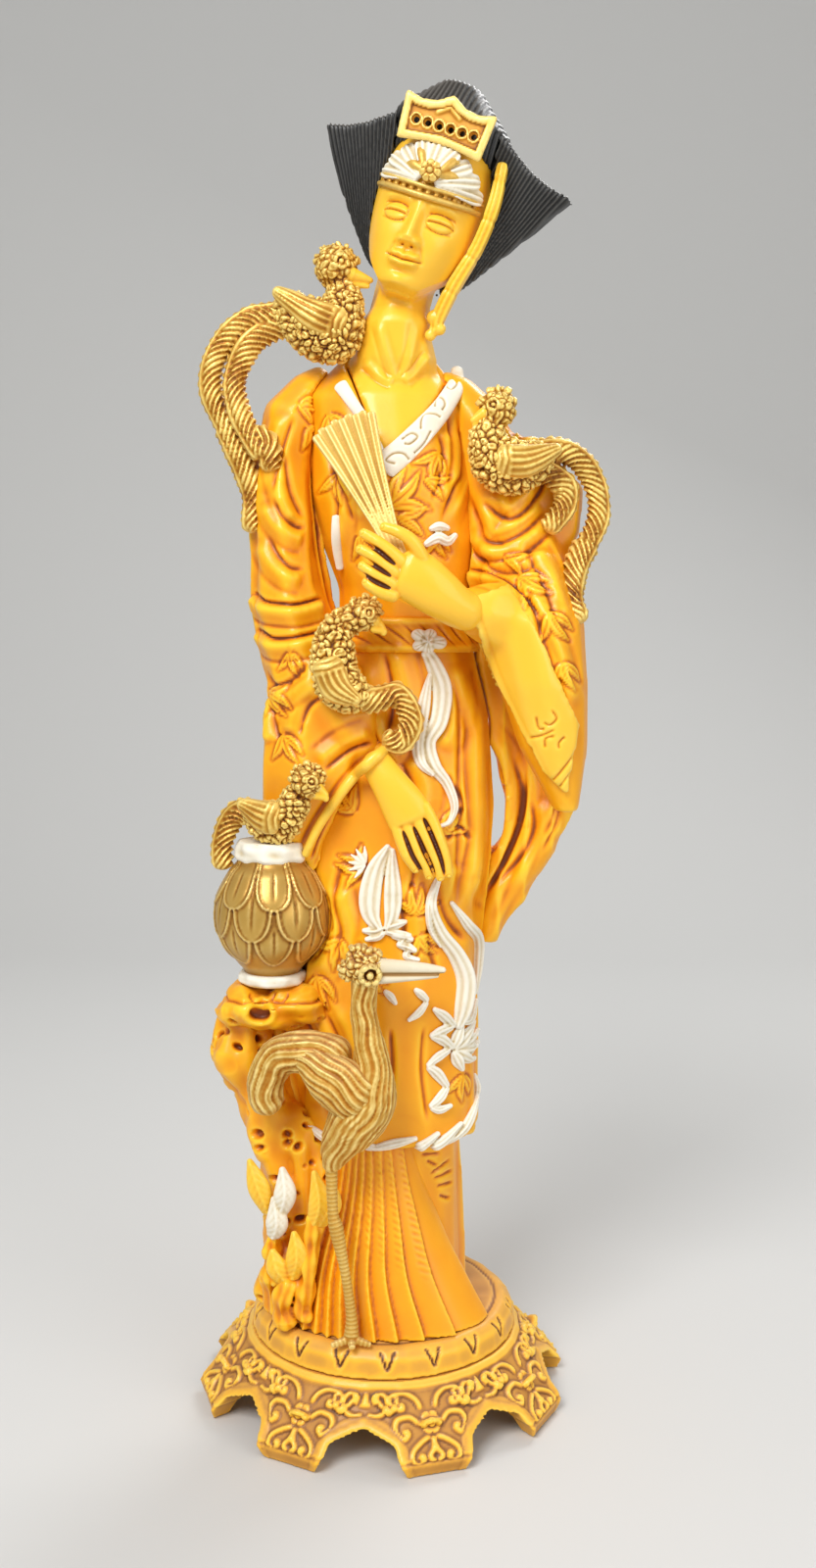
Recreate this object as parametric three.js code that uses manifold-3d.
// Cast-resin figurine: a robed lady with a fan, four small phoenixes, a crane and a lotus vase,
// on an octagonal arched plinth. Each casting is one mesh, seated on its neighbours with a glue gap.
// Millimetres, +Z up. The figure faces -Y, and left and right are those of someone facing it.
import * as THREE from "three";
import { mergeVertices } from "three/addons/utils/BufferGeometryUtils.js";
import Module from "manifold-3d";

const wasm = await Module();
wasm.setup();

// Driving dimensions

const CENTRE_SHIFT = -4; // brings the middle of the whole outline over the origin, in X
const GLUE_GAP = 0.3; // room left between two castings

const PLINTH = {
  feet: 8, // feet, and as many arches between them
  turn: -5.7, // degrees that the front arch is turned about Z
  archShare: 0.583, // share of each eighth of the rim that is arch
  footRadius: 58.3, // to the corners of the feet
  toeIn: 1, // how far the foot's outer edge draws in at the ground
  edge: 4, // height of the upright edge of a foot
  height: 21.4,
  wall: 5,
  roof: 5,
  archRise: 11.7,
};
const RIM = { width: 2, proud: 0.6 }; // raised round each arch of the plinth
const BOSS = { radius: 3.2, thickness: 1.6, z: 12.6, lean: 42, sides: 5 }; // raised on each foot
const DISC = { radius: 41.9, height: 8.6, bevel: 4.1, round: 1.8 };
const TENON = { radius: 9, depth: 6, lead: 4, clearance: 0.3, sides: 12 };
const HEM = { z: 86, frillHeight: 4, frillProud: 1.3 };
const WAIST = { z: 239, sashHeight: 10, sashProud: 2.6 };
const SHOULDERS = { z: 309, left: -24, right: 21 };
const NECK = { x: 1.5, z: 326, radius: 8.6 };
const NECKLINE = { left: -12, right: 20, point: 1.5, z: 284, inset: 1.2, back: -2 };
const SLEEVE = { folds: 4, foldShare: 0.09 }; // round folds of each arm
const TRAIN = { pleats: 17, pleatDepth: 0.05, top: 93 };
const FAN = { ribs: 9, length: 37, openWidth: 17.5, handleWidth: 5, thickness: 1.7, ridge: 0.7, bulge: 2 };
const VASE = { x: -33.6, y: -17, foot: 135, radius: 17, neckRadius: 9.8, height: 43, petals: 8 };
const CRANE = { x: -8, y: 2.9 - DISC.radius, z: 104 };
const HEAD = { x: 4.5, y: -3, z: 336.5, tilt: 18, nod: 4, turn: 8 };
const HAIR_WING = { leftBulge: 3.6, rightBulge: 1.8, lift: 2.4, dip: 3 };
const GRIP = { x: 2.5, y: -36, z: SHOULDERS.z - 45, lean: -17, tilt: -23 }; // of the fan, in the upper hand
const WRIST = { x: -9, y: -22, z: WAIST.z - 29 }; // of the lower hand
const LOTUS = { x: 14.9 - DISC.radius, y: -27, z: 30 }; // the foot of the sprig
const FRONT = -60; // a plane in front of the whole figure
const COMB = { halfWidth: 13, foot: 40.5, corner: 52.5, peak: 54.5, dip: 49.5, thickness: 2.4 };
const COMB_HOLES = { count: 6, radius: 1, pitch: 3.4, z: 46.2 };
const FINGER = { root: 2, tip: 1.3 };
const PLUME = { root: 4.2, tip: 3.6, depth: 2.6 };

const RESIN = { color: 0xf0a322, roughness: 0.42, metalness: 0 };
const GOLD = { color: 0xb5822f, roughness: 0.38, metalness: 0.55 };
const WHITE = { color: 0xe9e2cf, roughness: 0.5, metalness: 0 };
const BLACK = { color: 0x1d1d1d, roughness: 0.35, metalness: 0 };

const DISC_TOP = PLINTH.height + DISC.height;

// Solids from geometry

const radians = THREE.MathUtils.degToRad;
const lerp = THREE.MathUtils.lerp;
const point = (x, y, z) => new THREE.Vector3(x, y, z);

function solid(geometry) {
  const bare = geometry.clone();
  for (const name of Object.keys(bare.attributes)) {
    if (name !== "position") bare.deleteAttribute(name);
  }
  const merged = mergeVertices(bare, 1e-4);
  const vertProperties = new Float32Array(merged.attributes.position.array);
  const triVerts = new Uint32Array(merged.index.array);
  return new wasm.Manifold(new wasm.Mesh({ numProp: 3, vertProperties, triVerts }));
}

function union(...solids) {
  return solids.reduce((whole, next) => whole.add(next));
}

function without(body, ...others) {
  return others.reduce((left, other) => left.subtract(other), body);
}

// The largest of the bodies that a cut leaves: the rest is the waste of the cut.
function largest(body) {
  return body.decompose().reduce((best, next) => (next.volume() > best.volume() ? next : best));
}

function indexed(positions, index) {
  const geometry = new THREE.BufferGeometry();
  geometry.setAttribute("position", new THREE.Float32BufferAttribute(positions, 3));
  geometry.setIndex(index);
  return geometry;
}

// Joins rings of points, each with as many as the next, and closes both ends with a fan.
// The rings run anticlockwise when seen from the end that they lead to.
function loft(rings, place = new THREE.Matrix4()) {
  const around = rings[0].length;
  const positions = rings.flat().flatMap((p) => p.toArray());
  const index = [];
  for (let i = 0; i + 1 < rings.length; i += 1) {
    for (let j = 0; j < around; j += 1) {
      const a = i * around + j;
      const b = i * around + ((j + 1) % around);
      index.push(a, b, b + around, a, b + around, a + around);
    }
  }
  const last = (rings.length - 1) * around;
  for (const [ring, start, first] of [
    [rings[0], 0, true],
    [rings.at(-1), last, false],
  ]) {
    const middle = ring.reduce((sum, p) => sum.add(p), point(0, 0, 0)).divideScalar(around);
    const hub = positions.length / 3;
    positions.push(...middle.toArray());
    for (let j = 0; j < around; j += 1) {
      const a = start + j;
      const b = start + ((j + 1) % around);
      index.push(...(first ? [b, a, hub] : [a, b, hub]));
    }
  }
  return solid(indexed(positions, index).applyMatrix4(place));
}

// Rows at even steps through a table whose first column rises, on a smooth curve.
function smooth(table, steps) {
  const width = table[0].length - 1;
  const keys = table.map((row) => row[0]);
  const values = table.flatMap((row) => row.slice(1));
  const curve = new THREE.CubicInterpolant(keys, values, width);
  return Array.from({ length: steps + 1 }, (_, i) => {
    const at = lerp(keys[0], keys.at(-1), i / steps);
    return [at, ...curve.evaluate(at)];
  });
}

// An upright form from sections [z, left, right, front, back]. Folds are a share of the radius.
function column(sections, steps, { around = 32, grow = 0, folds = () => 0, place } = {}) {
  const low = sections[0][0];
  const high = sections.at(-1)[0];
  const rings = smooth(sections, steps).map(([z, left, right, front, back]) => {
    const height = z + (z === low ? -grow : 0) + (z === high ? grow : 0);
    return Array.from({ length: around }, (_, j) => {
      const turn = (j / around) * 2 * Math.PI;
      const reach = 1 + folds(turn, z);
      const x = (left + right) / 2 + ((right - left) / 2 + grow) * reach * Math.cos(turn);
      const y = (front + back) / 2 + ((back - front) / 2 + grow) * reach * Math.sin(turn);
      return point(x, y, height);
    });
  });
  return loft(rings, place);
}

// A rounded form along stations [x, y, z, half width, half depth]: the width lies across the path
// as seen from the front, and the depth runs from front to back. Stations may start at an anchor.
// Every other ring stands out by a share of the radius, as a fold does.
function limb(stations, steps, { anchor = [0, 0, 0], sides = 8, grow = 0, fold = 0, place } = {}) {
  const table = stations.map(([x, y, z, w, h], i) => {
    return [i / (stations.length - 1), x + anchor[0], y + anchor[1], z + anchor[2], w, h];
  });
  const fine = smooth(table, steps);
  const at = (i) => point(...fine[THREE.MathUtils.clamp(i, 0, steps)].slice(1, 4));
  const frames = fine.map(([, , , , w, h], i) => {
    const swell = 1 + (i % 2 ? fold : 0);
    const along = at(i + 1).sub(at(i - 1)).normalize();
    const across = point(0, 0, 0).crossVectors(point(0, 1, 0), along);
    if (across.length() < 0.2) across.set(1, 0, 0);
    across.normalize();
    const depth = point(0, 0, 0).crossVectors(along, across).normalize();
    return { at: at(i), along, across, depth, w: w * swell + grow, h: h * swell + grow };
  });
  const ring = (f, scale, advance) =>
    Array.from({ length: sides }, (_, j) => {
      const turn = (j / sides) * 2 * Math.PI;
      return f.at
        .clone()
        .addScaledVector(f.along, advance)
        .addScaledVector(f.across, f.w * scale * Math.cos(turn))
        .addScaledVector(f.depth, f.h * scale * Math.sin(turn));
    });
  const cap = (f, lift, sign) => {
    const advance = sign * Math.min(f.w, f.h) * Math.sin(radians(lift));
    return ring(f, Math.cos(radians(lift)), advance);
  };
  const [first, last] = [frames[0], frames.at(-1)];
  const body = frames.map((f) => ring(f, 1, 0));
  return loft([cap(first, 65, -1), ...body, cap(last, 65, 1)], place);
}

// A sheet given by its middle surface and half thickness along Y, over s and t from 0 to 1.
function sheet(rows, columns, middle, half, place = new THREE.Matrix4()) {
  const positions = [];
  const index = [];
  const wide = columns + 1;
  const layer = (rows + 1) * wide;
  for (const side of [-1, 1]) {
    for (let i = 0; i <= rows; i += 1) {
      for (let j = 0; j <= columns; j += 1) {
        const p = middle(i / rows, j / columns);
        positions.push(p.x, p.y + side * half(i / rows, j / columns), p.z);
      }
    }
  }
  const quad = (a, b, c, d) => index.push(a, c, b, a, d, c);
  for (let i = 0; i < rows; i += 1) {
    for (let j = 0; j < columns; j += 1) {
      const a = i * wide + j;
      quad(a, a + 1, a + wide + 1, a + wide);
      quad(layer + a, layer + a + wide, layer + a + wide + 1, layer + a + 1);
    }
  }
  const rim = [];
  for (let j = 0; j < columns; j += 1) rim.push(j);
  for (let i = 0; i < rows; i += 1) rim.push(i * wide + columns);
  for (let j = columns; j > 0; j -= 1) rim.push(rows * wide + j);
  for (let i = rows; i > 0; i -= 1) rim.push(i * wide);
  rim.forEach((a, k) => {
    const b = rim[(k + 1) % rim.length];
    quad(a, layer + a, layer + b, b);
  });
  return solid(indexed(positions, index).applyMatrix4(place));
}

// A front-view outline through [x, z] points on a smooth closed curve.
function outline(points, detail = 2) {
  const curve = new THREE.SplineCurve([...points, points[0]].map(([x, z]) => new THREE.Vector2(x, z)));
  return new THREE.Shape(curve.getPoints(points.length * detail).slice(0, -1));
}

// The front-view outline of a band along [x, z, half width] points.
function band(points, steps) {
  const table = points.map((row, i) => [i / (points.length - 1), ...row]);
  const fine = smooth(table, steps);
  const edge = (side) =>
    fine.map(([, x, z, half], i) => {
      const before = fine[Math.max(i - 1, 0)];
      const after = fine[Math.min(i + 1, steps)];
      const along = new THREE.Vector2(after[1] - before[1], after[2] - before[2]).normalize();
      return new THREE.Vector2(x - side * half * along.y, z + side * half * along.x);
    });
  return new THREE.Shape([...edge(1), ...edge(-1).reverse()]);
}

// A front-view outline carried from y = near to y = far.
function slab(shape, near, far, { place = new THREE.Matrix4(), curveSegments = 8 } = {}) {
  const options = { depth: far - near, bevelEnabled: false, curveSegments };
  const geometry = new THREE.ExtrudeGeometry(shape, options);
  geometry.rotateX(Math.PI / 2);
  geometry.translate(0, far, 0);
  return solid(geometry.applyMatrix4(place));
}

// A relief: an outline laid on the front of a form, standing proud of it.
function relief(shape, form, proud, far = 0) {
  return slab(shape, FRONT, far).intersect(form(proud));
}

function ball(x, y, z, radius, place = new THREE.Matrix4()) {
  const geometry = new THREE.IcosahedronGeometry(radius, 1);
  return solid(geometry.translate(x, y, z).applyMatrix4(place));
}

// The round tenon under the gown, from inside the gown down into the disc.
function peg(top, grow = 0) {
  const radius = TENON.radius + grow;
  const low = DISC_TOP - TENON.depth - grow;
  const geometry = new THREE.CylinderGeometry(radius, radius, top - low, TENON.sides);
  return solid(geometry.rotateX(Math.PI / 2).translate(0, 0, (top + low) / 2));
}

// Plinth

// How far the rim reaches, as a share of the corner radius: straight chords join the corners.
function rimReach(turn) {
  const pitch = (2 * Math.PI) / PLINTH.feet;
  const arch = pitch * PLINTH.archShare;
  const from = turn + Math.PI / 2 - radians(PLINTH.turn) + arch / 2;
  const local = THREE.MathUtils.euclideanModulo(from + 1e-6, pitch) - 1e-6;
  const span = local < arch - 1e-5 ? arch : pitch - arch;
  const into = local < arch - 1e-5 ? local : local - arch;
  return Math.cos(span / 2) / Math.cos(into - span / 2);
}

function plinthRing(radius, z, straightness) {
  const pitch = 360 / PLINTH.feet;
  const arch = pitch * PLINTH.archShare;
  const turns = [];
  for (let k = 0; k < PLINTH.feet; k += 1) {
    const middle = k * pitch + PLINTH.turn - 90;
    turns.push(middle - arch / 2, middle);
    turns.push(middle + arch / 2, middle + pitch / 2);
  }
  return turns.map(radians).map((turn) => {
    const reach = radius * lerp(1, rimReach(turn), straightness);
    return point(reach * Math.cos(turn), reach * Math.sin(turn), z);
  });
}

function plinthSkirt() {
  const { footRadius, toeIn, edge, height, wall, roof, archRise, feet, archShare, turn } = PLINTH;
  const flare = footRadius - DISC.radius;
  const rise = height - edge;
  const shell = (proud) =>
    loft([
      plinthRing(footRadius - toeIn, 0, 1),
      plinthRing(footRadius + proud, edge, 1),
      plinthRing(footRadius - flare * 0.36 + proud, edge + rise * 0.38, 0.78),
      plinthRing(DISC.radius, height, 0),
    ]);
  const hollow = loft([
    plinthRing(footRadius - toeIn - wall, -1, 1),
    plinthRing(footRadius - flare * 0.42 - wall, edge + rise * 0.46 - wall * 0.6, 0.7),
    plinthRing(DISC.radius - wall, height - roof, 0),
  ]);
  const halfSpan = footRadius * Math.sin(radians((360 / feet) * archShare) / 2);
  const turned = (share) => new THREE.Matrix4().makeRotationZ(radians(turn + (share * 360) / feet));
  const arch = (k, margin) => {
    const shape = new THREE.Shape();
    shape.absellipse(0, 0, halfSpan + margin, archRise + margin, 0, Math.PI * 2, false, 0);
    return slab(shape, -footRadius - margin, -wall, { place: turned(k), curveSegments: 4 });
  };
  const boss = (k) => {
    const out = lerp(DISC.radius, footRadius - flare * 0.36, (height - BOSS.z) / (rise * 0.62));
    const geometry = new THREE.CylinderGeometry(BOSS.radius, BOSS.radius, BOSS.thickness, BOSS.sides);
    geometry.rotateX(radians(BOSS.lean)).translate(0, -out, BOSS.z);
    return solid(geometry.applyMatrix4(turned(k + 0.5)));
  };
  const each = Array.from({ length: feet }, (_, k) => k);
  const rims = union(...each.map((k) => arch(k, RIM.width)));
  const cast = union(shell(0), shell(RIM.proud).intersect(rims), ...each.map(boss));
  return without(cast, hollow, ...each.map((k) => arch(k, 0)));
}

function plinthDisc() {
  const { radius, height, bevel, round } = DISC;
  const topRadius = radius - bevel;
  const profile = [
    [0, 0],
    [radius, 0],
    [radius - 1, height - round * 1.5],
    [topRadius + round * 0.6, height - round * 0.3],
    [topRadius, height],
    [0, height],
  ].map(([r, z]) => new THREE.Vector2(r, z));
  const lathe = new THREE.LatheGeometry(profile, 32);
  lathe.rotateX(Math.PI / 2);
  lathe.translate(0, 0, PLINTH.height + GLUE_GAP);
  return without(solid(lathe), peg(DISC_TOP + TENON.lead, TENON.clearance));
}

// Robe

const pleat = (turn, z, count, depth) => depth * Math.cos(count * turn + z * 0.02);

function gown(grow = 0) {
  const foot = DISC_TOP + 2 * GLUE_GAP;
  const sections = [
    [foot, -21, 26, -15, 23],
    [lerp(foot, HEM.z, 0.25), -19, 25.5, -16, 22],
    [lerp(foot, HEM.z, 0.6), -18, 24.5, -17, 20],
    [HEM.z, -17, 23, -18, 18.5],
    [HEM.z + 14, -16, 22, -18, 18],
  ];
  return union(column(sections, 4, { around: 16, grow }), peg(DISC_TOP + TENON.lead, grow));
}

function train(grow = 0) {
  const foot = DISC_TOP + 2 * GLUE_GAP;
  const sections = [
    [foot, -30, 32, -36, 4],
    [lerp(foot, TRAIN.top, 0.15), -28, 27, -34, 3],
    [lerp(foot, TRAIN.top, 0.4), -24, 19, -30, 1],
    [lerp(foot, TRAIN.top, 0.7), -19, 12, -26, -2],
    [TRAIN.top, -15, 8, -23, -4],
  ];
  const folds = (turn, z) => pleat(turn, z, TRAIN.pleats, TRAIN.pleatDepth);
  return column(sections, 3, { around: TRAIN.pleats * 3, grow, folds });
}

function overskirt(grow = 0) {
  const at = (share) => lerp(HEM.z, WAIST.z, share);
  const sections = [
    [at(0), -25, 29, -26, 21],
    [at(0.15), -32, 28.5, -25, 21],
    [at(0.3), -34, 28, -25, 21],
    [at(0.45), -33, 29.5, -24.5, 21],
    [at(0.62), -28, 32.5, -22.5, 20],
    [at(0.8), -21, 32, -19, 17],
    [at(1), -14, 25.5, -15.5, 14],
  ];
  const folds = (turn, z) => 0.02 * Math.cos(8 * turn + z * 0.03);
  return column(sections, 6, { around: 22, grow, folds });
}

function bust(grow = 0) {
  const foot = WAIST.z + GLUE_GAP;
  const at = (share) => lerp(foot, SHOULDERS.z, share);
  const { left, right } = SHOULDERS;
  const sections = [
    [foot, -14, 25, -15.5, 14],
    [at(0.25), -14.5, 26, -19, 16],
    [at(0.5), -22, 26.5, -22, 17],
    [at(0.8), left + 1, right + 3, -20, 17],
    [at(1), left - 1, right + 2, -16, 15],
    [SHOULDERS.z + 9, left + 6, right - 4, -11, 12],
    [SHOULDERS.z + 14, left + 13, right - 9, -8, 9],
  ];
  return column(sections, 6, { around: 18, grow });
}

// The V of the neckline, through the front of the robe.
function vee(grow = 0) {
  const { left, right, point: low } = NECKLINE;
  const reach = 2 * grow;
  const corners = [
    [left - reach, SHOULDERS.z + 20],
    [left - reach, SHOULDERS.z + 9],
    [low - reach, NECKLINE.z],
    [low, NECKLINE.z - reach],
    [low + reach, NECKLINE.z],
    [right + reach, SHOULDERS.z + 9],
    [right + reach, SHOULDERS.z + 20],
  ];
  const shape = new THREE.Shape(corners.map(([x, z]) => new THREE.Vector2(x, z)));
  return slab(shape, FRONT, NECKLINE.back + grow);
}

function torso(grow = 0) {
  return without(bust(grow), vee(GLUE_GAP));
}

function sash(grow = 0) {
  const out = WAIST.sashProud + grow;
  const half = WAIST.sashHeight / 2;
  const sections = [
    [WAIST.z - half, -15 - out, 26 + out, -16 - out, 14.5 + out],
    [WAIST.z, -14 - out, 25.5 + out, -15.5 - out, 14 + out],
    [WAIST.z + half, -14 - out, 25 + out, -16 - out, 14.5 + out],
  ];
  return column(sections, 2, { around: 12 });
}

function leftSleeve(grow = 0) {
  const { left, z } = SHOULDERS;
  const arm = [
    [2, 1, 3, 7, 9],
    [-5, 0, -9, 9.5, 12],
    [-7, -1, -27, 9.5, 13],
    [-5.5, -3, -47, 10.5, 14],
    [-3.5, -6, -66, 11, 14],
    [3, -9, -84, 15, 14],
    [13, -13, -99, 14, 12],
  ];
  const drape = [
    [VASE.foot + 2, -35, -14, -18, 6],
    [VASE.foot + 30, -37, -17, -20, 7],
    [VASE.foot + 52, -37, -12, -25, 7],
    [VASE.foot + 70, -37, -2, -26, 6],
    [VASE.foot + 84, -36, -4, -23, 4],
  ];
  const folds = (turn) => 0.05 * Math.cos(7 * turn);
  return union(
    limb(arm, SLEEVE.folds * 2, { anchor: [left, 0, z], sides: 8, grow, fold: SLEEVE.foldShare }),
    column(drape, 4, { around: 14, grow, folds }),
  );
}

function rightSleeve(grow = 0) {
  const { right, z } = SHOULDERS;
  const arm = [
    [-2, 1, 2, 7, 9],
    [6, 0, -9, 9, 12],
    [12, -2, -25, 11, 13],
    [17.5, -5, -43, 14, 13],
    [20, -11, -58, 14.5, 11],
    [14, -22, -65, 10, 9],
    [5, -28, -62, 8, 7],
  ];
  const drape = [
    [SHOULDERS.z - 121, 50, 57, -26, -14],
    [SHOULDERS.z - 108, 42, 59, -29, -10],
    [SHOULDERS.z - 84, 33, 59, -33, -6],
    [SHOULDERS.z - 64, 27, 57.5, -33, -4],
    [SHOULDERS.z - 46, 35, 51, -22, 0],
  ];
  const cape = [
    [SHOULDERS.z - 54, 30, 50, -14, 4],
    [SHOULDERS.z - 41, 28, 58, -13, 6],
    [SHOULDERS.z - 28, 27, 60, -13, 6],
    [SHOULDERS.z - 18, 27, 55, -12, 6],
    [SHOULDERS.z - 11, 30, 44, -9, 4],
  ];
  return union(
    limb(arm, SLEEVE.folds * 2, { anchor: [right, 0, z], sides: 8, grow, fold: SLEEVE.foldShare }),
    column(drape, 4, { around: 12, grow }),
    column(cape, 3, { around: 10, grow }),
  );
}

// The cloak that falls behind the right arm, with the long slot between it and the skirt.
function mantle(grow = 0) {
  const top = SHOULDERS.z - 52;
  const low = SHOULDERS.z - 165;
  const edges = [
    [0, 18, 50],
    [0.4, 26, 59.5],
    [0.55, 28, 60],
    [0.7, 27, 56],
    [0.85, 25, 45],
    [1, 24, 34],
  ];
  const rows = 5;
  const fine = smooth(edges, rows);
  const middle = (s, t) => {
    const [, inner, outer] = fine[Math.round(s * rows)];
    return point(lerp(inner, outer, t), 1 + 1.6 * Math.cos(t * 9 + s * 3), lerp(top, low, s));
  };
  const body = sheet(rows, 5, middle, (s, t) => 3.4 - 1.2 * t + grow);
  const slot = outline([
    [30, SHOULDERS.z - 100],
    [34.6, SHOULDERS.z - 108],
    [37.3, SHOULDERS.z - 120],
    [37, SHOULDERS.z - 131],
    [34, SHOULDERS.z - 137],
    [30, SHOULDERS.z - 132],
  ], 1);
  return without(body, slab(slot, -20, 20));
}

// Head, in its own frame: the chin is at the origin and the crown above it

const HEAD_PLACE = new THREE.Matrix4().compose(
  point(HEAD.x, HEAD.y, HEAD.z),
  new THREE.Quaternion().setFromEuler(
    new THREE.Euler(radians(HEAD.nod), radians(HEAD.tilt), radians(-HEAD.turn), "YXZ"),
  ),
  point(1, 1, 1),
);

function skull(grow = 0) {
  const sections = [
    [0, -4.5, 4.5, -16, -7],
    [3, -8.5, 8.5, -17.8, -2],
    [8, -12, 12, -18.3, 7],
    [15, -14.8, 14.8, -18.6, 13],
    [24, -16.4, 16.4, -18.8, 17],
    [34, -16.6, 16.6, -18.4, 18],
    [43, -14.2, 14.2, -15.5, 16.5],
    [50, -9, 9, -9.5, 12],
    [53, -3.5, 3.5, -3.5, 6],
  ];
  return column(sections, 6, { around: 14, grow, place: HEAD_PLACE });
}

function neck(grow = 0) {
  const { x, z, radius } = NECK;
  const sections = [
    [z - 26, x - radius, x + radius, -13, 6],
    [z - 7, x - radius - 4, x + radius + 4, -13, 8],
    [z + 1, x - radius - 0.5, x + radius + 1, -13, 7],
    [z + 12, x - radius + 2.5, x + radius + 3.5, -13.5, 7],
    [z + 18, x - radius + 4, x + radius + 5, -13.5, 7],
  ];
  return column(sections, 5, { around: 10, grow });
}

// The bare chest in the V of the robe, a little behind the robe's own surface.
function chest(grow = 0) {
  return vee(grow).intersect(bust(grow - NECKLINE.inset));
}

function nose(grow = 0) {
  const ridge = [
    [0, -17.4, 27, 1.6, 1.8],
    [0, -18.6, 22, 1.7, 2],
    [0, -20.2, 17, 2.2, 2.2],
    [0, -20.4, 15, 2.4, 2],
  ];
  return limb(ridge, 3, { sides: 6, grow, place: HEAD_PLACE });
}

function lips(grow = 0) {
  const line = [
    [-4, -17.4, 9.6, 0.9, 0.9],
    [0, -18.4, 9.4, 1.3, 1.3],
    [4, -17.4, 9.6, 0.9, 0.9],
  ];
  return limb(line, 2, { sides: 6, grow, place: HEAD_PLACE });
}

function head(grow = 0) {
  return union(skull(grow), neck(grow), chest(grow), nose(grow), lips(grow));
}

function hairCrown(grow = 0) {
  const sections = [
    [9, -12, 12, 8, 21],
    [22, -17.5, 17.5, 1, 23],
    [34, -18.8, 18.6, -7, 23.5],
    [44, -18.8, 17.6, -15.4, 22],
    [54, -19, 15.5, -15.2, 18],
    [59.5, -15.5, 11, -12, 14],
    [62.5, -8, 3.5, -6, 7],
  ];
  return column(sections, 5, { around: 14, grow, place: HEAD_PLACE });
}

function hairWing(side, grow = 0) {
  const bulge = side < 0 ? HAIR_WING.leftBulge : HAIR_WING.rightBulge;
  const middle = (s, t) => {
    const root = point(9 + 6 * t, 0, 5 + 4 * t);
    const tip = point(13 + 25 * t, 0, 53 - 11 * t - HAIR_WING.dip * Math.sin(Math.PI * t));
    const p = root.lerp(tip, s);
    const bow = t * Math.sin(Math.PI * s);
    return point(side * (p.x + bulge * bow), 1 + 2 * t, p.z + HAIR_WING.lift * bow);
  };
  const half = (s, t) => (3.5 + 6 * s) * (1 - 0.6 * t ** 2) + grow;
  const across = (t) => (side > 0 ? t : 1 - t);
  return sheet(4, 4, (s, t) => middle(1 - s, across(t)), (s, t) => half(1 - s, across(t)), HEAD_PLACE);
}

function hairBand(grow = 0) {
  const strand = [
    [17.2, -9, 44, 1.7, 2.2],
    [18.6, -10, 32, 2, 2.4],
    [17.6, -9, 20, 2, 2.4],
    [14.4, -8, 8, 2.4, 2.6],
    [12.4, -7, -1, 2.8, 2.4],
    [12.8, -7, -8, 1.6, 1.6],
  ];
  return limb(strand, 6, { sides: 6, grow, place: HEAD_PLACE });
}

function diadem(grow = 0) {
  const rim = new THREE.Shape();
  rim.moveTo(-15.6, 28.4);
  rim.quadraticCurveTo(0, 24.6, 15.6, 28.4);
  rim.lineTo(15.8, 32);
  const petalTips = [[15, 37], [10.5, 41], [4.5, 42.5], [-1.5, 42.8], [-7.5, 42], [-12.5, 39], [-15.8, 32]];
  for (const [x, z] of petalTips) {
    const from = rim.currentPoint;
    const bulge = point(from.x + x, from.y + z, 0).multiplyScalar(0.5);
    const out = point(bulge.x, bulge.y - 30, 0).normalize().multiplyScalar(2.2);
    rim.quadraticCurveTo(bulge.x + out.x, bulge.y + out.y, x, z);
  }
  const place = HEAD_PLACE;
  const plate = slab(rim, -40, -2, { place, curveSegments: 2 }).intersect(skull(2.6 + grow));
  return union(plate, ball(0.5, -20.4, 33.5, 3.4 + grow, place));
}

function crownComb(grow = 0) {
  const { halfWidth, foot, corner, peak, dip, thickness } = COMB;
  const plate = new THREE.Shape();
  plate.moveTo(-halfWidth + 1, foot);
  plate.quadraticCurveTo(0, foot + 3, halfWidth - 1, foot);
  plate.lineTo(halfWidth, corner);
  plate.quadraticCurveTo(halfWidth * 0.45, dip, 0, peak);
  plate.quadraticCurveTo(-halfWidth * 0.45, dip, -halfWidth, corner);
  plate.closePath();
  for (let k = 0; k < COMB_HOLES.count; k += 1) {
    const x = (k - (COMB_HOLES.count - 1) / 2) * COMB_HOLES.pitch;
    const hole = new THREE.Path();
    hole.absarc(x, COMB_HOLES.z, COMB_HOLES.radius, 0, 2 * Math.PI, true);
    plate.holes.push(hole);
  }
  const back = -16.2;
  const place = HEAD_PLACE;
  return slab(plate, back - thickness - grow, back + grow, { place, curveSegments: 3 });
}

// Hands and fan

function fingers(tracks, anchor, grow) {
  return tracks.map((track) => {
    const stations = track.map(([x, y, z], i) => {
      const radius = lerp(FINGER.root, FINGER.tip, i / (track.length - 1));
      return [x, y, z, radius, radius];
    });
    return limb(stations, 2, { anchor, sides: 5, grow });
  });
}

function upperHand(grow = 0) {
  const anchor = [GRIP.x, GRIP.y, GRIP.z];
  const palm = [
    [24.5, 6, -19, 6, 6],
    [18.5, 2, -17, 6.5, 6],
    [11.5, -1, -12, 7.5, 5.5],
    [4.5, -3, -6, 7, 4.5],
    [0.5, -3.5, -3, 5.5, 3.6],
  ];
  const tracks = [
    [[1.5, -4, 1], [-5.5, -5.5, 3], [-10.5, -5, 0.5]],
    [[1, -5, -2.5], [-6.5, -6, -1], [-11.5, -5.5, -4]],
    [[1.5, -5, -6.5], [-5, -6, -5.5], [-9.5, -5.5, -8.5]],
    [[3.5, -4, -10], [-2, -5, -10.5], [-6, -4.5, -13.5]],
    [[9.5, -3, -5], [5.5, -5.5, 2], [-0.5, -5.5, 6]],
  ];
  return union(limb(palm, 4, { anchor, sides: 7, grow }), ...fingers(tracks, anchor, grow));
}

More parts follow.
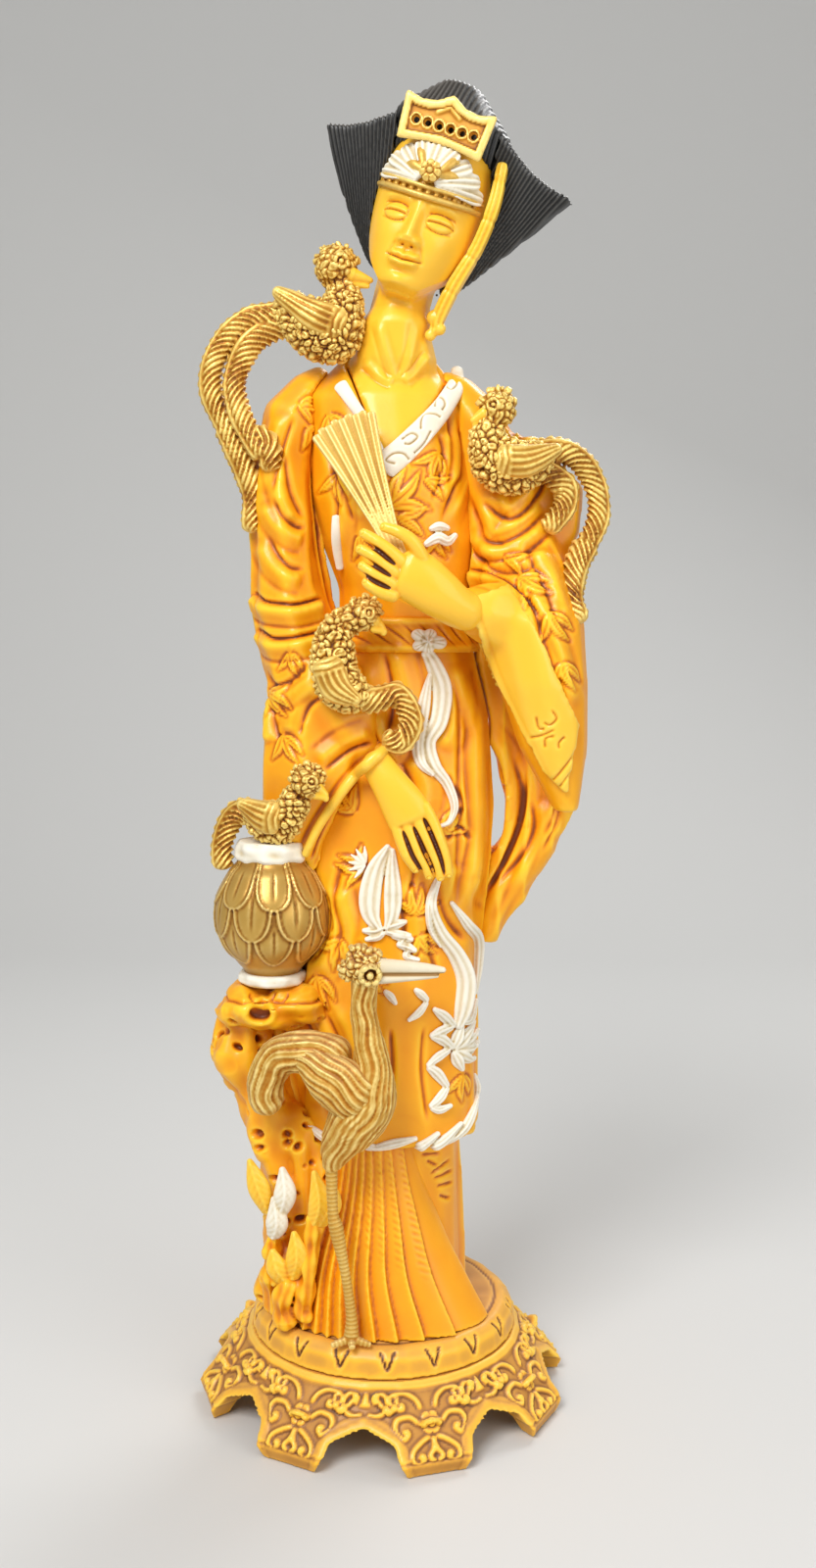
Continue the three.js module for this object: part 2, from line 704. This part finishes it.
function lowerHand(grow = 0) {
  const anchor = [WRIST.x, WRIST.y, WRIST.z];
  const palm = [
    [0, 0, 0, 6, 5],
    [6, -3, -6.5, 6.2, 5],
    [13, -6, -15, 7.5, 5],
    [18.5, -6.5, -22, 7.2, 4],
    [21, -6.5, -26, 6.2, 3],
  ];
  const tracks = [
    [[25.5, -6.5, -24], [28.5, -7, -32], [29, -6.5, -39]],
    [[22.5, -7, -26], [25.5, -7.5, -35], [26.5, -7, -42]],
    [[19, -7, -28], [21.5, -7.5, -36], [22.5, -7, -42]],
    [[16, -6.5, -26], [17.5, -7, -33], [18, -6.5, -38.5]],
  ];
  return union(limb(palm, 4, { anchor, sides: 7, grow }), ...fingers(tracks, anchor, grow));
}

function fan(grow = 0) {
  const { ribs, length, openWidth, handleWidth, thickness, ridge, bulge } = FAN;
  const place = new THREE.Matrix4().compose(
    point(GRIP.x, GRIP.y, GRIP.z),
    new THREE.Quaternion().setFromEuler(new THREE.Euler(radians(GRIP.lean), radians(GRIP.tilt), 0, "YXZ")),
    point(1, 1, 1),
  );
  const ring = (share, z, push) => {
    const width = lerp(handleWidth, openWidth, share) + 2 * grow;
    const front = Array.from({ length: 2 * ribs + 1 }, (_, i) => {
      const across = i / (2 * ribs) - 0.5;
      const out = i % 2 ? ridge * (0.4 + share) : 0;
      return point(across * width, -thickness / 2 - out - grow, z - bulge * push * 4 * across ** 2);
    });
    const low = z - bulge * push;
    const back = [point(width / 2, thickness / 2 + grow, low), point(-width / 2, thickness / 2 + grow, low)];
    return [...front, ...back];
  };
  return loft([ring(0, -7 - grow, 0), ring(0.1, 2, 0), ring(1, length + grow, 1)], place);
}

// Phoenixes

// A bird from its body stations, its head, its beak's tip and its plumes, all from its perch.
function phoenix({ perch, body, crown, headRadius, beak, plumes }, grow = 0) {
  const anchor = perch;
  const [hx, hy, hz] = crown;
  const skullBall = ball(hx + perch[0], hy + perch[1], hz + perch[2], headRadius + grow);
  const bill = limb([[hx, hy, hz, 3, 3], [...beak, 0.9, 0.9]], 1, { anchor, sides: 5, grow });
  const tails = plumes.map((track) => {
    const stations = track.map(([x, y, z], i) => {
      return [x, y, z, lerp(PLUME.root, PLUME.tip, i / (track.length - 1)), PLUME.depth];
    });
    return limb(stations, 6, { anchor, sides: 4, grow });
  });
  return union(limb(body, 4, { anchor, sides: 8, grow }), skullBall, bill, ...tails);
}

const LEFT_PHOENIX = {
  perch: [SHOULDERS.left + 8, -10, SHOULDERS.z + 17],
  body: [
    [1, 0, 16, 4.5, 4.5],
    [3, -1, 8, 5.5, 5.5],
    [0, -1, 0, 7.8, 7],
    [-8, 0, 4, 7.5, 6.5],
    [-16, 2, 11, 3.5, 4],
  ],
  crown: [1, 0, 19],
  headRadius: 6,
  beak: [10, 0, 17],
  plumes: [
    [[-11, 1, 8], [-24, 3, 5.5], [-33.5, 4, -3], [-37, 4, -14], [-33, 4, -26], [-26, 2, -39], [-24, 1, -58]],
    [[-11, 1, 4], [-20, 2, 1], [-27, 2, -6], [-29, 1, -16], [-26, -1, -26], [-20, -4, -37]],
  ],
};

const RIGHT_PHOENIX = {
  perch: [SHOULDERS.right + 12, -19, SHOULDERS.z - 20],
  body: [
    [-2, 0, 13, 4.2, 4.2],
    [-4, -1, 7, 5, 5],
    [-1, -1, 0, 7.5, 6.5],
    [6, 0, -1, 7.5, 6],
    [14, 2, 2, 4, 4],
  ],
  crown: [-1, 0, 15],
  headRadius: 5.2,
  beak: [-8, -2, 12],
  plumes: [
    [[8, 1, 2], [20, 4, 3.5], [27.5, 8, -3], [30, 9, -12], [26.5, 7, -23], [22, 1, -34], [23.5, -6, -46]],
    [[8, 1, -2], [15, 2, -3], [20, 4, -8], [18.5, 4, -15], [14, 2, -20]],
  ],
};

const WAIST_PHOENIX = {
  perch: [-10, -27, WAIST.z - 11],
  body: [
    [4, 3, 16, 3.6, 3.6],
    [-3, 0, 14, 4.2, 4.2],
    [-5, -1, 6, 6, 5],
    [-3, -1, -3, 6.8, 5.2],
    [5, 0, -8, 5, 5],
    [12, 2, -5, 4, 4],
  ],
  crown: [4, 3, 17],
  headRadius: 4.6,
  beak: [10, 3, 13],
  plumes: [[[8, 1, -7], [14, 3, -6], [18, 3, -13], [15, 3, -20], [9, 1, -19]]],
};

const VASE_PHOENIX = {
  perch: [VASE.x + 2, VASE.y - 7, VASE.foot + VASE.height + 8],
  body: [
    [8, -5, 9, 3.8, 3.8],
    [5, -3, 4, 4.4, 4.4],
    [1, 0, -2, 5.8, 5.6],
    [-4, 2, -1, 6, 5.6],
    [-9, 4, 2, 3.4, 3.6],
  ],
  crown: [9.5, -6, 11],
  headRadius: 4.8,
  beak: [15.5, -7, 8],
  plumes: [[[-6, 3, 2], [-13, 6, 0], [-17, 7, -8], [-17, 7, -17]]],
};

// Vase, rock and crane

function vase(grow = 0) {
  const { x, y, foot, radius, neckRadius, height, petals } = VASE;
  const profile = [
    [0, neckRadius],
    [0.08, neckRadius - 1],
    [0.16, neckRadius + 1.5],
    [0.3, radius * 0.93],
    [0.45, radius],
    [0.62, radius * 0.95],
    [0.78, radius * 0.74],
    [0.86, neckRadius],
    [0.95, neckRadius - 0.4],
    [1, neckRadius + 0.4],
  ];
  const sections = profile.map(([share, r]) => {
    return [foot + share * height, x - r, x + r, y - r, y + r];
  });
  const folds = (turn, z) => {
    const share = (z - foot) / height;
    const above = THREE.MathUtils.smoothstep(share, 0.12, 0.25);
    const onBody = above - THREE.MathUtils.smoothstep(share, 0.7, 0.8);
    return 0.035 * onBody * Math.cos(petals * turn);
  };
  return column(sections, 7, { around: petals * 2, grow, folds });
}

function rock(grow = 0) {
  const top = VASE.foot - GLUE_GAP;
  const foot = DISC_TOP + 2 * GLUE_GAP;
  const ledge = [
    [VASE.x - 13, VASE.y + 3, top - 8, 5, 9],
    [VASE.x - 5, VASE.y, top - 6.5, 6.5, 12],
    [VASE.x + 8, VASE.y, top - 6.5, 6.5, 12],
    [VASE.x + 19, VASE.y + 2, top - 5, 4.5, 8],
  ];
  const trunk = [
    [VASE.x - 8, VASE.y + 6, top - 9, 8, 9],
    [VASE.x - 9.5, VASE.y + 6, top - 25, 9, 10],
    [VASE.x + 2, VASE.y + 6, top - 44, 9.5, 11],
    [VASE.x + 8, VASE.y + 5, lerp(foot, top, 0.34), 9.5, 12],
    [VASE.x + 6, VASE.y + 3, foot + 5, 10.5, 12],
  ];
  const floor = new THREE.Shape();
  floor.moveTo(-80, 0).lineTo(20, 0).lineTo(20, foot - grow).lineTo(-80, foot - grow);
  const stone = union(limb(ledge, 4, { sides: 7, grow }), limb(trunk, 5, { sides: 7, grow }));
  return without(stone, slab(floor, FRONT, -FRONT));
}

function crane(grow = 0) {
  const anchor = [CRANE.x, CRANE.y, CRANE.z];
  const neckAndBody = [
    [3, 0, 40, 3.6, 3.6],
    [2, 1, 27, 3.4, 3.4],
    [5, 0, 15, 4.2, 4.2],
    [4, 0, 3, 8.5, 7.5],
    [-3, 1, -1, 11, 9],
    [-13, 4, 6, 9.5, 8],
    [-24, 7, 11, 6, 6],
    [-30, 9, 3, 4.6, 5],
    [-30, 10, -6, 3.4, 4],
  ];
  const thigh = [
    [-4, 2, -5, 7, 6],
    [-6, 3, -13, 3.6, 3.6],
    [-7, 3, -19, 2.2, 2.2],
  ];
  const beak = [
    [4, 0, 40.5, 2.4, 2.2],
    [14, -1, 40.5, 1.7, 1.5],
    [25, -1, 41, 0.9, 0.9],
  ];
  return union(
    limb(neckAndBody, 9, { anchor, sides: 7, grow }),
    limb(thigh, 2, { anchor, sides: 6, grow }),
    limb(beak, 3, { anchor, sides: 6, grow }),
    ball(CRANE.x + 3, CRANE.y, CRANE.z + 41, 6.2 + grow),
  );
}

function craneLeg(grow = 0) {
  const { x, y, z } = CRANE;
  const shin = [
    [x - 7, y + 3, z - 17, 1.8, 1.8],
    [x - 6.5, y + 2, z - 32, 1.6, 1.6],
    [x - 3, y + 1.5, z - 50, 1.5, 1.5],
    [x - 1, y + 1.5, z - 64, 1.8, 1.8],
    [x - 1, y + 1, DISC_TOP + 3, 2.6, 2.4],
  ];
  return limb(shin, 6, { sides: 6, grow });
}

function lotus(grow = 0) {
  const anchor = [LOTUS.x, LOTUS.y, LOTUS.z];
  const stems = [
    [[-6, 5, 3, 3, 3], [-7, 3, 18, 3, 3], [-6, 1, 30, 3, 3]],
    [[3, -2, 4, 3, 3], [5, -3, 22, 3, 3], [7, -3, 38, 2.4, 2.4]],
    [[-6, 3, 14, 3, 3], [-1, 0, 18, 3, 3], [5, -2, 18, 3, 3]],
  ];
  const buds = [
    [[-6, 1, 28, 3, 2.6], [-4, -1, 35, 4.6, 3], [-5, -1, 42, 2, 1.6]],
    [[-6, 1, 38, 2.8, 2.4], [-9, 0, 46, 3.8, 2.6], [-12, 0, 54, 1.2, 1.2]],
    [[7, -3, 35, 2.6, 2.4], [8, -4, 43, 4, 2.8], [7, -4, 52, 1.4, 1.4]],
    [[0, -2, 18, 3, 2.4], [1, -3, 26, 3.6, 2.6], [1, -3, 33, 1.4, 1.2]],
  ];
  return union(...[...stems, ...buds].map((track) => limb(track, 2, { anchor, sides: 4, grow })));
}

// Reliefs on the robe

function collar(grow = 0) {
  const line = [
    [NECKLINE.right + 0.5, SHOULDERS.z + 11, 2.6],
    [NECKLINE.right - 1.4, SHOULDERS.z + 1, 3.2],
    [lerp(NECKLINE.point, NECKLINE.right, 0.52), SHOULDERS.z - 11, 3.4],
    [NECKLINE.point + 2.6, NECKLINE.z + 1, 3.4],
  ];
  return relief(band(line, 4), bust, 1.4 + grow, 2);
}

function leafPendant(grow = 0) {
  const z = WAIST.z;
  const leaf = outline([
    [2, z - 59],
    [-5, z - 67],
    [-7.5, z - 78],
    [-5.5, z - 85],
    [-1, z - 82],
    [5, z - 84],
    [6, z - 72],
  ]);
  return relief(leaf, overskirt, 1.8 + grow);
}

function sashRibbon(grow = 0) {
  const z = WAIST.z;
  const tail = [
    [12, z - 4, 1.6],
    [16.5, z - 13, 2.6],
    [15.5, z - 23, 2.8],
    [12, z - 31, 2.2],
    [15, z - 37, 1.8],
    [19.5, z - 46, 1.2],
  ];
  const waist = (proud) => union(overskirt(proud), sash(proud));
  return relief(band(tail, 8), waist, 1.6 + grow);
}

function bow(grow = 0) {
  return ball(12.5, -18.5, WAIST.z - 1, 3.6 + grow);
}

function lowerRibbon(grow = 0) {
  const z = HEM.z;
  const tail = [
    [17.5, z + 82, 1.2],
    [14.5, z + 73, 2],
    [17, z + 64, 2.6],
    [22, z + 56, 3],
    [24, z + 47, 3],
    [22, z + 38, 2.6],
  ];
  return relief(band(tail, 8), overskirt, 1.8 + grow);
}

function ruffle(grow = 0) {
  const z = HEM.z;
  const zigzag = [
    [15, 36], [20, 38], [25.5, 37], [27, 30], [27.5, 24], [24, 19], [19, 15],
    [17, 20], [21, 23], [16, 27], [20, 31],
  ].map(([x, up]) => new THREE.Vector2(x, z + up));
  return relief(new THREE.Shape(zigzag), overskirt, 2.6 + grow);
}

function hemFrill(grow = 0) {
  const { z, frillHeight, frillProud } = HEM;
  const low = z - 0.5;
  const edge = [[-8, low], [34, low], [34, low + frillHeight], [-8, low + frillHeight]];
  const strip = new THREE.Shape(edge.map(([x, y]) => new THREE.Vector2(x, y)));
  return relief(strip, overskirt, frillProud + grow, -14);
}

function sleeveCuff(grow = 0) {
  const { right, z } = SHOULDERS;
  const edge = outline([
    [right + 2, z - 59],
    [right + 14, z - 55],
    [right + 22, z - 68],
    [right + 35, z - 95],
    [right + 32, z - 116],
    [right + 25, z - 109],
    [right + 15, z - 90],
    [right + 7, z - 73],
  ], 1);
  return relief(edge, rightSleeve, 1.6 + grow, -16);
}

// Assembly: each piece is cut clear of all that were placed before it, so it seats on them

const group = new THREE.Group();
group.name = "figurine";
group.position.x = CENTRE_SHIFT;
const seats = [];

function add(name, form, { color, roughness, metalness }) {
  const mesh = largest(without(form(0), ...seats)).getMesh();
  seats.push(form(GLUE_GAP));
  const geometry = new THREE.BufferGeometry();
  const positions = new THREE.BufferAttribute(new Float32Array(mesh.vertProperties), 3);
  geometry.setAttribute("position", positions);
  geometry.setIndex(new THREE.BufferAttribute(new Uint32Array(mesh.triVerts), 1));
  geometry.computeVertexNormals();
  const piece = new THREE.Mesh(geometry, new THREE.MeshStandardMaterial({ color, roughness, metalness }));
  piece.name = name;
  group.add(piece);
}

add("plinth_skirt", plinthSkirt, RESIN);
add("plinth_disc", plinthDisc, RESIN);
add("vase", vase, GOLD);
add("gown", gown, RESIN);
add("train", train, RESIN);
add("head", head, RESIN);
add("overskirt", overskirt, RESIN);
add("torso", torso, RESIN);
add("hair_crown", hairCrown, BLACK);
add("hair_wing_left", (grow) => hairWing(-1, grow), BLACK);
add("hair_wing_right", (grow) => hairWing(1, grow), BLACK);
add("diadem", diadem, GOLD);
add("hair_band", hairBand, RESIN);
add("crown_comb", crownComb, GOLD);
add("sash", sash, RESIN);
add("sleeve_left", leftSleeve, RESIN);
add("sleeve_right", rightSleeve, RESIN);
add("mantle", mantle, RESIN);
add("sleeve_cuff", sleeveCuff, RESIN);
add("fan", fan, RESIN);
add("upper_hand", upperHand, RESIN);
add("lower_hand", lowerHand, RESIN);
add("rock", rock, RESIN);
add("crane", crane, GOLD);
add("crane_leg", craneLeg, GOLD);
add("phoenix_left", (grow) => phoenix(LEFT_PHOENIX, grow), GOLD);
add("phoenix_right", (grow) => phoenix(RIGHT_PHOENIX, grow), GOLD);
add("phoenix_waist", (grow) => phoenix(WAIST_PHOENIX, grow), GOLD);
add("phoenix_vase", (grow) => phoenix(VASE_PHOENIX, grow), GOLD);
add("lotus_sprig", lotus, WHITE);
add("bow", bow, WHITE);
add("collar", collar, WHITE);
add("sash_ribbon", sashRibbon, WHITE);
add("leaf_pendant", leafPendant, WHITE);
add("lower_ribbon", lowerRibbon, WHITE);
add("ruffle", ruffle, WHITE);
add("hem_frill", hemFrill, WHITE);

export default group;
